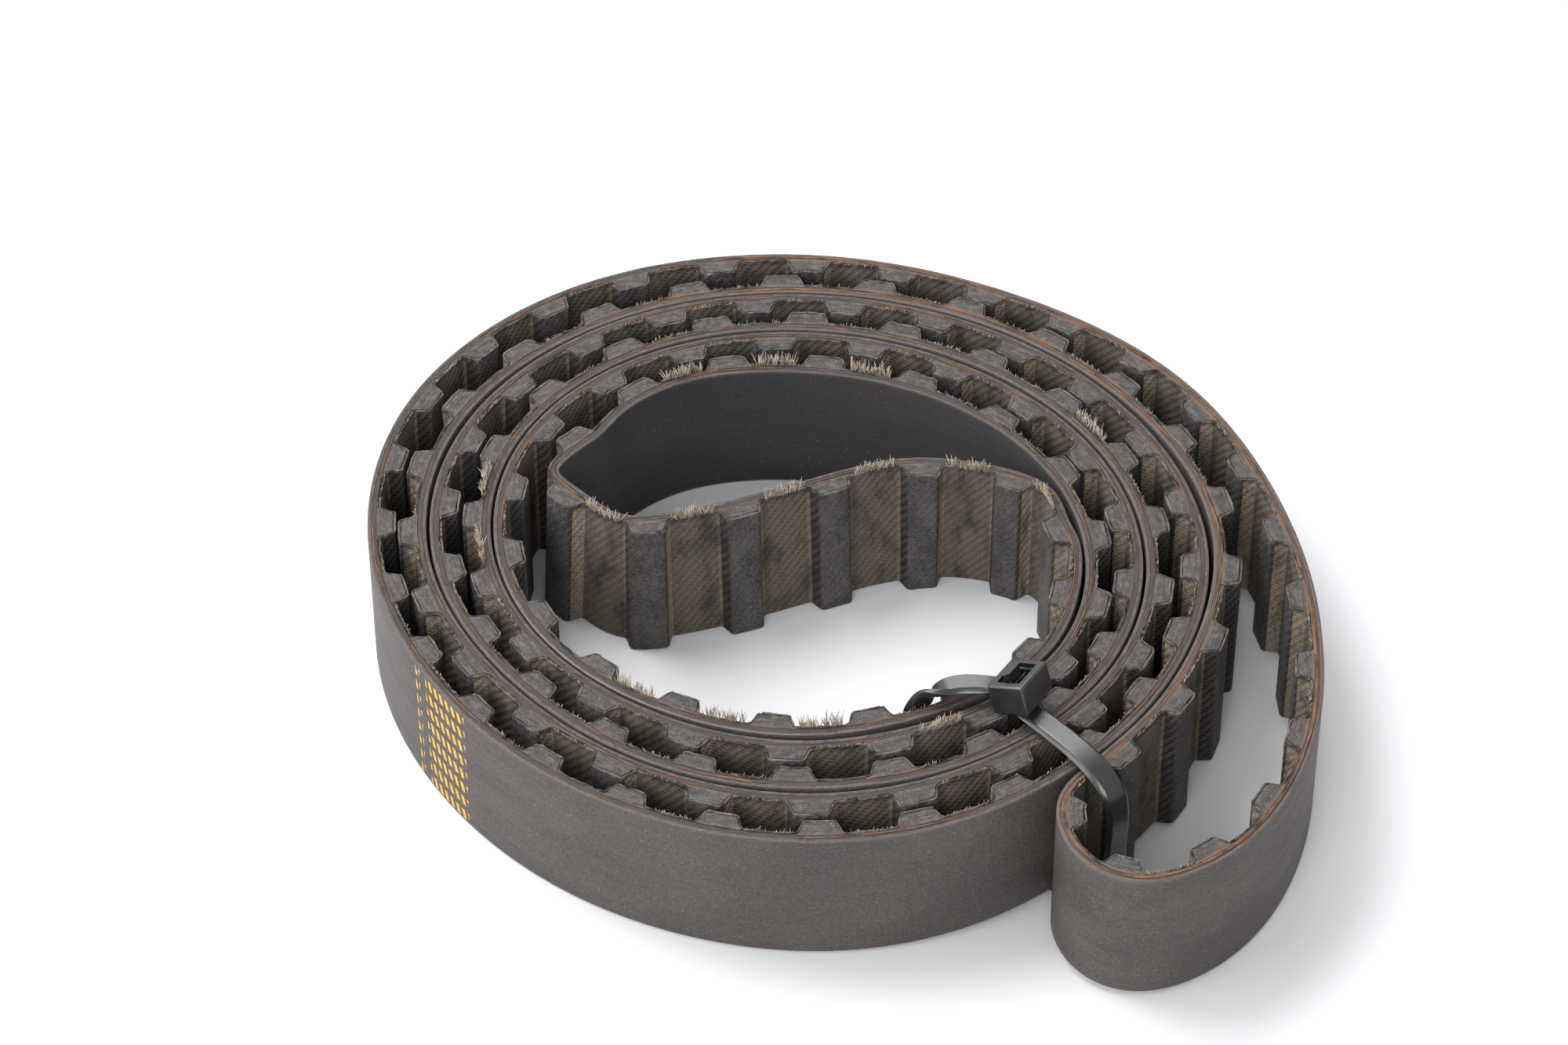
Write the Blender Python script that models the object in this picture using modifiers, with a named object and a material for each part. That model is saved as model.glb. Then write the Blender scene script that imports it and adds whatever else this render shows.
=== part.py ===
"""Used synchronous (timing) belt, coiled on its edge and held by a cable tie.

The belt is an endless laminate: backing, tension cord layer, toothed rubber and nylon facing. All four
follow one closed route, the pitch line. The route runs from the teardrop fold round three laps inward,
crosses the middle in an S, turns back in a tight fold and runs outward again between its own laps.
Units are metres, +Z is up, and the belt stands on its edge at Z = 0.
"""

import math

import bmesh
import bpy
import numpy
from mathutils import Matrix, Vector

MM = 0.001

# Belt section, in mm. Offsets are measured from the pitch line, positive toward the teeth.
PITCH = 12.7
TEETH = 140
WIDTH = 20.0
TOOTH_HEIGHT = 2.1
ROOT_HALF = 2.95
TIP_HALF = 2.15
LAND_OFFSET = 0.75
BACK_OFFSET = -0.85
CORD_HALF = 0.28
LAYER_GAP = 0.05
FACING_THICKNESS = 0.25
EDGE_RECESS = 0.2
PHASE = 15.9
SPANS = 14
SPAN_GAP = 0.1
TIGHT_TURN = math.radians(14)

# Coil, in mm: pitch-line radius every 30 degrees counter-clockwise from east, one lap a row.
INWARD_LAPS = (
    (60.5, 57.2, 55.6, 57.4, 61.0, 62.3, 59.1, 55.2, 53.0, 52.1, 51.0, 48.8),
    (48.4, 47.3, 47.4, 49.0, 51.8, 53.2, 51.0, 46.7, 44.4, 43.3, 42.8, 41.0),
    (39.8, 39.0, 39.1, 41.1, 43.9, 44.9, 42.7, 39.0, 35.6, 34.3, 33.7, 33.3),
    (31.9,),
)
OUTWARD_LAPS = (
    (50.8, 50.8, 49.6, 49.4, 51.0, 53.8, 55.4, 53.1, 48.7, 46.5, 45.6, 44.8),
    (43.0, 41.9, 41.1, 41.3, 43.2, 45.9, 46.9, 44.7, 41.0, 37.8, 36.7, 36.3),
    (35.4, 33.9, 32.8, 32.7, 34.4, 37.9),
)
OUTWARD_START = -30.0
LAP_STEP = 30.0

# Where the belt leaves the coil its pitch line goes through these points, in mm.
TEARDROP = (
    (37.1, -36.0), (32.6, -41.2), (28.9, -46.2), (28.9, -52.3), (32.3, -57.3), (37.9, -59.2),
    (45.2, -56.8), (52.5, -50.1), (57.9, -40.3), (61.1, -28.6), (62.0, -15.7),
)
CROSSING = (
    (30.7, 4.5), (28.7, 10.6), (22.6, 14.4), (14.9, 15.6), (6.9, 14.2), (-1.4, 11.1), (-10.9, 7.3),
    (-19.6, 4.5), (-27.6, 4.1), (-33.2, 8.4), (-37.2, 14.6), (-31.6, 21.1), (-28.3, 25.9),
)

# The tied strands ride up over the strap that runs under them.
LIFT = 1.5
LIFT_REACH = 18.0

# The middle of the footprint, in mm from the coil's centre; the part's origin is on the floor there.
FOOTPRINT_MIDDLE = (1.182, -0.719)

# Cable tie, in mm.
STRAP_WIDTH = 3.6
STRAP_THICKNESS = 1.1
HEAD_SIZE = (4.7, 6.6, 3.75)
HEAD_CENTRE = (23.6, -30.9, 25.0)
HEAD_X = (0.836, -0.435, 0.334)
HEAD_Y = (0.50, 0.86, -0.13)
SLOT_SIZE = (2.7, 4.2)
STRAP_IN_SLOT = -0.70
PAWL_SIZE = (0.65, 3.2, 2.2)
PAWL_IN_SLOT = 0.3
PAWL_FOOT = 1.0
PAWL_TAPER = 0.25
STUB = 0.9

RUBBER = (0.040, 0.037, 0.035)
TOOTH_RUBBER = (0.055, 0.052, 0.050)
CORD = (0.30, 0.145, 0.085)
FABRIC = (0.045, 0.040, 0.036)
NYLON = (0.012, 0.012, 0.014)


# --- scene set-up ---------------------------------------------------------------------------------

def clear_scene():
    for old in list(bpy.data.objects):
        bpy.data.objects.remove(old, do_unlink=True)


def new_collection(name):
    group = bpy.data.collections.new(name)
    bpy.context.scene.collection.children.link(group)
    return group


def new_material(name, colour, roughness, metallic=0.0):
    material = bpy.data.materials.new(name)
    material.use_nodes = True
    shader = material.node_tree.nodes["Principled BSDF"]
    shader.inputs["Base Color"].default_value = (*colour, 1.0)
    shader.inputs["Roughness"].default_value = roughness
    shader.inputs["Metallic"].default_value = metallic
    material.diffuse_color = (*colour, 1.0)
    return material


# --- the route ------------------------------------------------------------------------------------

def coil_points(laps, start):
    radii = [radius for lap in laps for radius in lap]
    points = []
    for step, radius in enumerate(radii):
        angle = math.radians(start + LAP_STEP * step)
        points.append((radius * math.cos(angle), radius * math.sin(angle)))
    return points


def route_knots():
    inward = coil_points(INWARD_LAPS, 0.0)
    outward = coil_points(OUTWARD_LAPS, OUTWARD_START)
    return numpy.array(list(TEARDROP) + inward + list(CROSSING) + outward[::-1])


def closed_spline(knots, samples):
    """Closed cubic spline through the knots, with square-root chord spacing."""
    count = len(knots)
    after = numpy.roll(knots, -1, 0)
    before = numpy.roll(knots, 1, 0)
    span = numpy.sqrt(numpy.linalg.norm(after - knots, axis=1))
    last_span = numpy.roll(span, 1)
    system = numpy.zeros((count, count))
    for row in range(count):
        system[row, row - 1] += 1.0 / last_span[row]
        system[row, row] += 2.0 / last_span[row] + 2.0 / span[row]
        system[row, (row + 1) % count] += 1.0 / span[row]
    right = 3.0 * ((knots - before) / last_span[:, None] ** 2 + (after - knots) / span[:, None] ** 2)
    slope = numpy.linalg.solve(system, right)
    slope_after = numpy.roll(slope, -1, 0)
    curve = []
    for row in range(count):
        for step in range(samples):
            t = step / samples
            point = (2 * t**3 - 3 * t**2 + 1) * knots[row] + (3 * t**2 - 2 * t**3) * after[row]
            point = point + (t**3 - 2 * t**2 + t) * span[row] * slope[row]
            curve.append(point + (t**3 - t**2) * span[row] * slope_after[row])
    return numpy.array(curve)


class Route:
    """The pitch line, with its length brought to exactly TEETH pitches."""

    def __init__(self):
        curve = closed_spline(route_knots(), 40)
        closed = numpy.vstack([curve, curve[:1]])
        length = numpy.linalg.norm(numpy.diff(closed, axis=0), axis=1).sum()
        closed = closed * (PITCH * TEETH / length)
        steps = numpy.linalg.norm(numpy.diff(closed, axis=0), axis=1)
        self.curve = closed
        self.along = numpy.concatenate([[0.0], numpy.cumsum(steps)])
        self.length = self.along[-1]

    def point(self, distance):
        wrapped = distance % self.length
        x = numpy.interp(wrapped, self.along, self.curve[:, 0])
        y = numpy.interp(wrapped, self.along, self.curve[:, 1])
        return Vector((x, y))

    def offset(self, distance, sideways):
        """A point beside the pitch line; positive is the toothed side, left of travel."""
        tangent = (self.point(distance + 0.4) - self.point(distance - 0.4)).normalized()
        return self.point(distance) + Vector((-tangent.y, tangent.x)) * sideways


def strap_ground_run():
    """Both ends, in mm, of the strap's run under the belt."""
    stations = strap_stations()
    under = [point for point, _side in stations if point.z < STRAP_THICKNESS]
    return under[0].to_2d(), under[-1].to_2d()


def lift_at(x, y, run):
    """Height in mm by which the strands are raised at a place, over the strap under them."""
    start, end = run
    spot = Vector((x, y))
    line = end - start
    share = min(max((spot - start).dot(line) / line.length_squared, 0.0), 1.0)
    distance = (spot - start - line * share).length
    return LIFT * math.exp(-((distance / LIFT_REACH) ** 2))


# --- outlines of the layers -----------------------------------------------------------------------

def land_middle(route, tooth):
    """The middle of the land after a tooth, if the sides need a point there."""
    middle = PHASE + (tooth + 0.5) * PITCH
    behind = route.offset(middle - PITCH / 4, 1.0) - route.point(middle - PITCH / 4)
    ahead = route.offset(middle + PITCH / 4, 1.0) - route.point(middle + PITCH / 4)
    tight = behind.angle(ahead) > TIGHT_TURN
    ends_span = (tooth + 1) % (TEETH // SPANS) == 0
    return [middle] if tight or ends_span else []


def plain_side(route, first, last, offset):
    """A smooth side of a layer, with a point behind each root corner."""
    return [route.offset(spot, offset) for spot in plain_stations(route, first, last)]


def plain_stations(route, first, last):
    """Distances along the pitch line of both root corners of every tooth from first to last."""
    stations = []
    for tooth in range(first, last):
        centre = PHASE + tooth * PITCH
        stations += [centre - ROOT_HALF, centre + ROOT_HALF]
        stations += land_middle(route, tooth)
    return stations


def toothed_side(route, first, last, inset):
    """The toothed side, set in by a distance measured square to its own surface."""
    flank = Vector((ROOT_HALF - TIP_HALF, TOOTH_HEIGHT)).normalized()
    pull = inset * (1.0 - flank.x) / flank.y
    land = LAND_OFFSET - inset
    tip = land + TOOTH_HEIGHT
    root_half = ROOT_HALF - pull
    tip_half = TIP_HALF - pull
    points = []
    for tooth in range(first, last):
        centre = PHASE + tooth * PITCH
        points.append(route.offset(centre - root_half, land))
        points.append(route.offset(centre - tip_half, tip))
        points.append(route.offset(centre + tip_half, tip))
        points.append(route.offset(centre + root_half, land))
        points += [route.offset(spot, land) for spot in land_middle(route, tooth)]
    return points


def add_spline(curve, points):
    spline = curve.splines.new("POLY")
    spline.points.add(len(points) - 1)
    for knot, point in zip(spline.points, points):
        knot.co = (point.x * MM, point.y * MM, 0.0, 1.0)
    spline.use_cyclic_u = True


def upright_solid(name, outlines, bottom, top, material, group, run):
    """A flat outline, extruded upward, with the strands' lift over the strap."""
    curve = bpy.data.curves.new(name + "_outline", "CURVE")
    curve.dimensions = "2D"
    curve.fill_mode = "BOTH"
    curve.extrude = (top - bottom) / 2 * MM
    for points in outlines:
        add_spline(curve, points)
    outline = bpy.data.objects.new(name + "_outline", curve)
    group.objects.link(outline)
    bpy.context.view_layer.update()
    mesh = bpy.data.meshes.new_from_object(outline)
    bpy.data.objects.remove(outline, do_unlink=True)
    for vertex in mesh.vertices:
        vertex.co.z += (bottom + top) / 2 * MM
        vertex.co.z += lift_at(vertex.co.x / MM, vertex.co.y / MM, run) * MM
    return finish(name, mesh, material, group)


def finish(name, mesh, material, group):
    """Weld, turn the faces outward, shade and link a mesh as one named object."""
    work = bmesh.new()
    work.from_mesh(mesh)
    bmesh.ops.remove_doubles(work, verts=work.verts, dist=0.00001)
    bmesh.ops.recalc_face_normals(work, faces=work.faces)
    work.to_mesh(mesh)
    work.free()
    mesh.name = name
    mesh.materials.clear()
    mesh.materials.append(material)
    mesh.set_sharp_from_angle(angle=math.radians(25))
    part = bpy.data.objects.new(name, mesh)
    group.objects.link(part)
    return part


def belt_ring(name, route, outer, inner, material, group, run):
    """A whole endless layer between two closed sides."""
    bottom = EDGE_RECESS
    top = WIDTH - EDGE_RECESS
    return upright_solid(name, (outer, inner), bottom, top, material, group, run)


def span_outline(route, first, last, near_side, far_side, near_offset, far_offset):
    """One span's outline, closed by square ends in the middle of two lands."""
    half_gap = SPAN_GAP / 2
    start = PHASE + (first - 0.5) * PITCH + half_gap
    end = PHASE + (last - 0.5) * PITCH - half_gap
    near = [route.offset(start, near_offset)] + near_side[:-1] + [route.offset(end, near_offset)]
    far = [route.offset(start, far_offset)] + far_side[:-1] + [route.offset(end, far_offset)]
    return near + far[::-1]


def build_belt(route, group, materials, run):
    cord_top = CORD_HALF
    base = CORD_HALF + LAYER_GAP
    rubber_inset = FACING_THICKNESS + LAYER_GAP
    cord_sides = [plain_side(route, 0, TEETH, side) for side in (-cord_top, cord_top)]
    belt_ring("tension_cord_layer", route, cord_sides[0], cord_sides[1], materials["cord"], group, run)
    facing_sides = [toothed_side(route, 0, TEETH, inset) for inset in (0.0, FACING_THICKNESS)]
    belt_ring("nylon_facing", route, facing_sides[0], facing_sides[1], materials["fabric"], group, run)
    per_span = TEETH // SPANS
    for number in range(SPANS):
        first = number * per_span
        last = first + per_span
        outer = plain_side(route, first, last, BACK_OFFSET)
        inner = plain_side(route, first, last, -base)
        outline = span_outline(route, first, last, outer, inner, BACK_OFFSET, -base)
        name = f"backing_span_{number + 1:02d}"
        upright_solid(name, (outline,), 0.0, WIDTH, materials["rubber"], group, run)
        inner = plain_side(route, first, last, base)
        outer = toothed_side(route, first, last, rubber_inset)
        land = LAND_OFFSET - rubber_inset
        outline = span_outline(route, first, last, inner, outer, base, land)
        name = f"toothed_rubber_span_{number + 1:02d}"
        upright_solid(name, (outline,), 0.0, WIDTH, materials["tooth_rubber"], group, run)


# --- cable tie ------------------------------------------------------------------------------------

def head_axes():
    across = Vector(HEAD_X).normalized()
    along = (Vector(HEAD_Y) - across * Vector(HEAD_Y).dot(across)).normalized()
    return across, along, across.cross(along)


def head_matrix():
    across, along, up = head_axes()
    turn = Matrix((across, along, up)).transposed().to_4x4()
    return Matrix.Translation(Vector(HEAD_CENTRE) * MM) @ turn


def strap_stations():
    """The strap's centre line and width direction, in mm, from the head round to the cut stub."""
    across, along, up = head_axes()
    centre = Vector(HEAD_CENTRE)
    inner_side = Vector((0.93, 0.36, 0.0))
    outer_side = Vector((0.81, 0.58, 0.0))
    slot = centre + across * STRAP_IN_SLOT
    root = centre - across * (HEAD_SIZE[0] / 2 + LAYER_GAP)
    elbow = slot - up * (HEAD_SIZE[2] / 2 + STRAP_THICKNESS / 2)
    back_along_run = Vector((0.62, -0.78, 0.0))
    return [
        (root, along),
        (root - across * 1.5, along),
        (Vector((16.2, -28.8, 23.4)), Vector((0.62, 0.78, 0.0))),
        (Vector((13.4, -29.4, 23.0)), Vector((0.75, 0.66, 0.0))),
        (Vector((11.7, -29.8, 22.1)), inner_side),
        (Vector((10.8, -30.0, 20.6)), inner_side),
        (Vector((10.5, -30.1, 18.6)), inner_side),
        (Vector((10.5, -30.1, 2.3)), inner_side),
        (Vector((10.7, -30.25, 1.2)), inner_side),
        (Vector((11.5, -30.8, 0.68)), outer_side),
        (Vector((13.2, -32.0, 0.6)), outer_side),
        (Vector((33.3, -43.9, 0.6)), outer_side),
        (Vector((34.9, -45.2, 1.5)), outer_side),
        (Vector((35.4, -45.6, 3.2)), outer_side),
        (Vector((35.4, -45.6, 18.0)), outer_side),
        (Vector((34.8, -45.0, 20.6)), outer_side),
        (Vector((33.2, -43.0, 22.2)), outer_side),
        (Vector((31.0, -40.2, 22.8)), outer_side),
        (Vector((27.5, -35.8, 22.6)), Vector((0.70, 0.70, -0.05))),
        (elbow + back_along_run * 1.3, along),
        (elbow + back_along_run * 0.38 + up * 0.38, along),
        (elbow + up * 1.05, along),
        (slot + up * (HEAD_SIZE[2] / 2 + STUB), along),
    ]


def sweep_strap(stations):
    """A rectangular band through the stations; every joint is a ring of four corners."""
    work = bmesh.new()
    rings = []
    for number, (point, side) in enumerate(stations):
        behind = stations[max(number - 1, 0)][0]
        ahead = stations[min(number + 1, len(stations) - 1)][0]
        travel = (ahead - behind).normalized()
        width = (side - travel * side.dot(travel)).normalized() * (STRAP_WIDTH / 2)
        normal = travel.cross(width).normalized() * (STRAP_THICKNESS / 2)
        corners = (width + normal, normal - width, -width - normal, width - normal)
        rings.append([work.verts.new((point + corner) * MM) for corner in corners])
    for ring, following in zip(rings, rings[1:]):
        for corner in range(4):
            opposite = (corner + 1) % 4
            work.faces.new((ring[corner], ring[opposite], following[opposite], following[corner]))
    work.faces.new(rings[0][::-1])
    work.faces.new(rings[-1])
    mesh = bpy.data.meshes.new("tie_strap")
    work.to_mesh(mesh)
    work.free()
    return mesh


def box_object(name, size, centre, material, group):
    """A box in the head's own axes; size and centre are in mm."""
    work = bmesh.new()
    bmesh.ops.create_cube(work, size=1.0)
    bmesh.ops.scale(work, vec=Vector(size) * MM, verts=work.verts)
    bmesh.ops.translate(work, vec=Vector(centre) * MM, verts=work.verts)
    mesh = bpy.data.meshes.new(name)
    work.to_mesh(mesh)
    work.free()
    mesh.materials.append(material)
    box = bpy.data.objects.new(name, mesh)
    group.objects.link(box)
    return box


def build_head(group, cutters, material):
    head = box_object("tie_head", HEAD_SIZE, (0.0, 0.0, 0.0), material, group)
    bevel = head.modifiers.new("edges", "BEVEL")
    bevel.width = 0.45 * MM
    bevel.segments = 2
    slot_size = (SLOT_SIZE[0], SLOT_SIZE[1], HEAD_SIZE[2] * 2)
    slot = box_object("slot_cutter", slot_size, (0.0, 0.0, 0.0), material, cutters)
    slot.hide_render = True
    slot.display_type = "WIRE"
    cut = head.modifiers.new("slot", "BOOLEAN")
    cut.operation = "DIFFERENCE"
    cut.solver = "EXACT"
    cut.object = slot
    head.matrix_world = head_matrix()
    slot.matrix_world = head_matrix()


def build_pawl(group, material):
    """The sprung tongue beside the strap; its origin is on the living hinge at its foot."""
    centre = (PAWL_SIZE[0] / 2, 0.0, PAWL_SIZE[2] / 2)
    pawl = box_object("tie_pawl", PAWL_SIZE, centre, material, group)
    for vertex in pawl.data.vertices:
        if vertex.co.z > 0 and vertex.co.x > PAWL_SIZE[0] / 2 * MM:
            vertex.co.x -= PAWL_TAPER * MM
    foot = Vector((PAWL_IN_SLOT - PAWL_SIZE[0] / 2, 0.0, -HEAD_SIZE[2] / 2 + PAWL_FOOT)) * MM
    pawl.matrix_world = head_matrix() @ Matrix.Translation(foot)


def build_tie(group, cutters, material):
    finish("tie_strap", sweep_strap(strap_stations()), material, group)
    build_head(group, cutters, material)
    build_pawl(group, material)


def main():
    clear_scene()
    belt_group = new_collection("timing_belt")
    cutters = new_collection("cutters")
    materials = {
        "rubber": new_material("backing_rubber", RUBBER, 0.62),
        "tooth_rubber": new_material("tooth_rubber", TOOTH_RUBBER, 0.75),
        "cord": new_material("tension_cord", CORD, 0.85),
        "fabric": new_material("nylon_facing", FABRIC, 0.9),
        "nylon": new_material("tie_nylon", NYLON, 0.35),
    }
    run = strap_ground_run()
    build_belt(Route(), belt_group, materials, run)
    build_tie(belt_group, cutters, materials["nylon"])
    for part in list(belt_group.objects) + list(cutters.objects):
        part.location.x -= FOOTPRINT_MIDDLE[0] * MM
        part.location.y -= FOOTPRINT_MIDDLE[1] * MM


main()
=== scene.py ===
"""Looks for the used, coiled timing belt: fine belt layers, frayed threads, a moulded tie, the studio.

Lengths are in millimetres up to the last step of each mesh, because the belt's section is. The belt is
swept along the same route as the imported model's, so the route's points are repeated here.
"""

import math
import random

import bmesh
import bpy
import numpy as np
from mathutils import Matrix, Vector


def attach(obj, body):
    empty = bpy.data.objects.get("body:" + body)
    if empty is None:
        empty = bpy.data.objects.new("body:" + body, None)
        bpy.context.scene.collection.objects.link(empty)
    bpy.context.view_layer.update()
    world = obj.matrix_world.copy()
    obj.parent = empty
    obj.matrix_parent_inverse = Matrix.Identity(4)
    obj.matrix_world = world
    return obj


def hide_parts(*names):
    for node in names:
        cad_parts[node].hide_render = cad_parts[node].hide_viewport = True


MM = 0.001
BODY = "belt_and_tie"
PAWL_BODY = "pawl"

# Belt, in mm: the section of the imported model, with the fillets and bevels of the real thing.
PITCH = 12.7
TEETH = 140
WIDTH = 20.0
TOOTH_HEIGHT = 2.1
ROOT_HALF = 2.95
TIP_HALF = 2.15
ROOT_FILLET = 0.5
TIP_FILLET = 0.7
LAND_OFFSET = 0.75
BACK_OFFSET = -0.85
CORD_HALF = 0.28
LAYER_GAP = 0.05
FACING_THICKNESS = 0.25
EDGE_BEVEL = 0.22
RUBBER_EDGE_EASE = 0.08
PHASE = 15.9

# Stations of the swept layers, in mm: their step, and how near the start the last one may come.
STATION_STEP = 0.95
STATION_END_GAP = 0.4

# The route of the pitch line, in mm from the coil's centre: radii every 30 degrees, one lap a row.
INWARD_LAPS = (
    (60.5, 57.2, 55.6, 57.4, 61.0, 62.3, 59.1, 55.2, 53.0, 52.1, 51.0, 48.8),
    (48.4, 47.3, 47.4, 49.0, 51.8, 53.2, 51.0, 46.7, 44.4, 43.3, 42.8, 41.0),
    (39.8, 39.0, 39.1, 41.1, 43.9, 44.9, 42.7, 39.0, 35.6, 34.3, 33.7, 33.3),
    (31.9,),
)
OUTWARD_LAPS = (
    (50.8, 50.8, 49.6, 49.4, 51.0, 53.8, 55.4, 53.1, 48.7, 46.5, 45.6, 44.8),
    (43.0, 41.9, 41.1, 41.3, 43.2, 45.9, 46.9, 44.7, 41.0, 37.8, 36.7, 36.3),
    (35.4, 33.9, 32.8, 32.7, 34.4, 37.9),
)
OUTWARD_START = -30.0
LAP_STEP = 30.0
SPLINE_SAMPLES = 40
TANGENT_REACH = 0.6
TEARDROP = (
    (37.1, -36.0), (32.6, -41.2), (28.9, -46.2), (28.9, -52.3), (32.3, -57.3), (37.9, -59.2),
    (45.2, -56.8), (52.5, -50.1), (57.9, -40.3), (61.1, -28.6), (62.0, -15.7),
)
CROSSING = (
    (30.7, 4.5), (28.7, 10.6), (22.6, 14.4), (14.9, 15.6), (6.9, 14.2), (-1.4, 11.1), (-10.9, 7.3),
    (-19.6, 4.5), (-27.6, 4.1), (-33.2, 8.4), (-37.2, 14.6), (-31.6, 21.1), (-28.3, 25.9),
)

# Height of the strands over the strap that runs under them, and a slight unevenness along them, in mm.
LIFT = 1.5
LIFT_REACH = 18.0
STRAP_RUN = ((13.2, -32.0), (33.3, -43.9))
UNEVEN = 0.22

# Stretches along the pitch line, in mm.
CROSSING_STRETCH = (1010.0, 1085.0)
CROSSING_LEAN = 1.2
CROSSING_RAMP = 15.0
PRINT_START = 309.4
PRINT_ROWS = 8
# The inner laps, whose backing is darkened with painted shade.
PAINTED_SHADE_STRETCH = (990.0, 1330.0)
RUBBED_STRETCH = (860.0, 985.0)
RUSTY_STRETCHES = ((-20.0, 190.0), (1640.0, 1800.0))
RUSTY_FADE = 25.0

# Facing weave, in mm: the step between twill ribs, the step between yarns along a rib.
TWILL_STEP = 0.98
YARN_STEP = 0.62

# Cable tie, in mm from the coil's centre.
STRAP_WIDTH = 3.6
STRAP_THICKNESS = 1.1
HEAD_SIZE = (4.7, 6.6, 3.75)
HEAD_CENTRE = (23.6, -30.9, 25.0)
HEAD_X = (0.836, -0.435, 0.334)
HEAD_Y = (0.50, 0.86, -0.13)
SLOT_SIZE = (2.7, 4.2)
STRAP_IN_SLOT = -0.70
PAWL_SIZE = (0.65, 3.2, 2.2)
PAWL_IN_SLOT = 0.3
PAWL_FOOT = 1.0
STUB = 0.9
FLOOR_GAP = 0.04

# Added to the head's three sides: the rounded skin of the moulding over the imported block, in mm.
HEAD_SKIN = (0.4, 0.2, 0.4)

# Camera, in mm from the coil's centre, and its pitch below the horizon.
CAMERA_PLACE = (-5.9, -480.2, 476.9)
CAMERA_DIP = math.radians(43.312)
CAMERA_LENS = 117.0
SENSOR_WIDTH = 36.0
WORLD_STRENGTH = 0.62

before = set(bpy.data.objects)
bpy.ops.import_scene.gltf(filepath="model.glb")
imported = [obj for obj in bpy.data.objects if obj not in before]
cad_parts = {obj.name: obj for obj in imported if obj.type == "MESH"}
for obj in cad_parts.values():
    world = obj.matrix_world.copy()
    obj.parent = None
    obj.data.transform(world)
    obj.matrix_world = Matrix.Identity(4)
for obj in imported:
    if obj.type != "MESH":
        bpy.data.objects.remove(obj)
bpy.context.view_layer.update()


# --- the route ------------------------------------------------------------------------------------

def coil_points(laps, start):
    radii = [radius for lap in laps for radius in lap]
    angles = [math.radians(start + LAP_STEP * step) for step in range(len(radii))]
    return [(radius * math.cos(angle), radius * math.sin(angle)) for radius, angle in zip(radii, angles)]


def route_knots():
    inward = coil_points(INWARD_LAPS, 0.0)
    outward = coil_points(OUTWARD_LAPS, OUTWARD_START)
    return np.array(list(TEARDROP) + inward + list(CROSSING) + outward[::-1])


def closed_spline(knots, samples):
    """Closed cubic spline through the knots, with square-root chord spacing."""
    count = len(knots)
    after = np.roll(knots, -1, 0)
    before = np.roll(knots, 1, 0)
    span = np.sqrt(np.linalg.norm(after - knots, axis=1))
    last_span = np.roll(span, 1)
    system = np.zeros((count, count))
    for row in range(count):
        system[row, row - 1] += 1.0 / last_span[row]
        system[row, row] += 2.0 / last_span[row] + 2.0 / span[row]
        system[row, (row + 1) % count] += 1.0 / span[row]
    right = 3.0 * ((knots - before) / last_span[:, None] ** 2 + (after - knots) / span[:, None] ** 2)
    slope = np.linalg.solve(system, right)
    slope_after = np.roll(slope, -1, 0)
    steps = (np.arange(samples) / samples)[:, None]
    pieces = []
    for row in range(count):
        piece = (2 * steps**3 - 3 * steps**2 + 1) * knots[row]
        piece = piece + (3 * steps**2 - 2 * steps**3) * after[row]
        piece = piece + (steps**3 - 2 * steps**2 + steps) * span[row] * slope[row]
        pieces.append(piece + (steps**3 - steps**2) * span[row] * slope_after[row])
    return np.vstack(pieces)


class Route:
    """The pitch line, with its length brought to exactly TEETH pitches."""

    def __init__(self):
        curve = closed_spline(route_knots(), SPLINE_SAMPLES)
        closed = np.vstack([curve, curve[:1]])
        length = np.linalg.norm(np.diff(closed, axis=0), axis=1).sum()
        self.curve = closed * (PITCH * TEETH / length)
        steps = np.linalg.norm(np.diff(self.curve, axis=0), axis=1)
        self.along = np.concatenate([[0.0], np.cumsum(steps)])
        self.length = self.along[-1]

    def points(self, distances):
        wrapped = np.mod(distances, self.length)
        x = np.interp(wrapped, self.along, self.curve[:, 0])
        y = np.interp(wrapped, self.along, self.curve[:, 1])
        return np.stack([x, y], -1)

    def normals(self, distances):
        """Unit vectors toward the teeth, left of travel."""
        ahead = self.points(distances + TANGENT_REACH)
        behind = self.points(distances - TANGENT_REACH)
        tangent = ahead - behind
        tangent /= np.linalg.norm(tangent, axis=-1, keepdims=True)
        return np.stack([-tangent[..., 1], tangent[..., 0]], -1)


def smooth_rise(value, start, end):
    t = np.clip((value - start) / (end - start), 0.0, 1.0)
    return t * t * (3 - 2 * t)


def lift_at(xy):
    """Height in mm by which the strands are raised over the strap that runs under them."""
    start = np.array(STRAP_RUN[0])
    line = np.array(STRAP_RUN[1]) - start
    share = np.clip(((xy - start) @ line) / (line @ line), 0.0, 1.0)
    distance = np.linalg.norm(xy - start - share[..., None] * line, axis=-1)
    return LIFT * np.exp(-((distance / LIFT_REACH) ** 2))


def unevenness(distances):
    """A slow rise and fall along the belt, never below the floor and the same after each full turn."""
    turn = 2 * np.pi * distances / (PITCH * TEETH)
    wave = np.sin(17 * turn + 0.7) + 0.8 * np.sin(29 * turn + 2.1) + 0.6 * np.sin(43 * turn + 4.4)
    return UNEVEN * (0.5 + 0.21 * wave)


def place(route, s, n, z):
    """Where (along, sideways, up) in the belt's own coordinates is, in metres in the frame."""
    along = np.mod(s, route.length)
    start, end = CROSSING_STRETCH
    arriving = smooth_rise(along, start, start + CROSSING_RAMP)
    crossing = arriving * (1 - smooth_rise(along, end - CROSSING_RAMP, end))
    lean = -CROSSING_LEAN * crossing * z / WIDTH
    pitch_line = route.points(s)
    xy = pitch_line + route.normals(s) * (n + lean)[..., None]
    height = z + lift_at(xy) + unevenness(s)
    return np.concatenate([(xy - FOOTPRINT_MIDDLE), height[..., None]], -1) * MM


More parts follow.
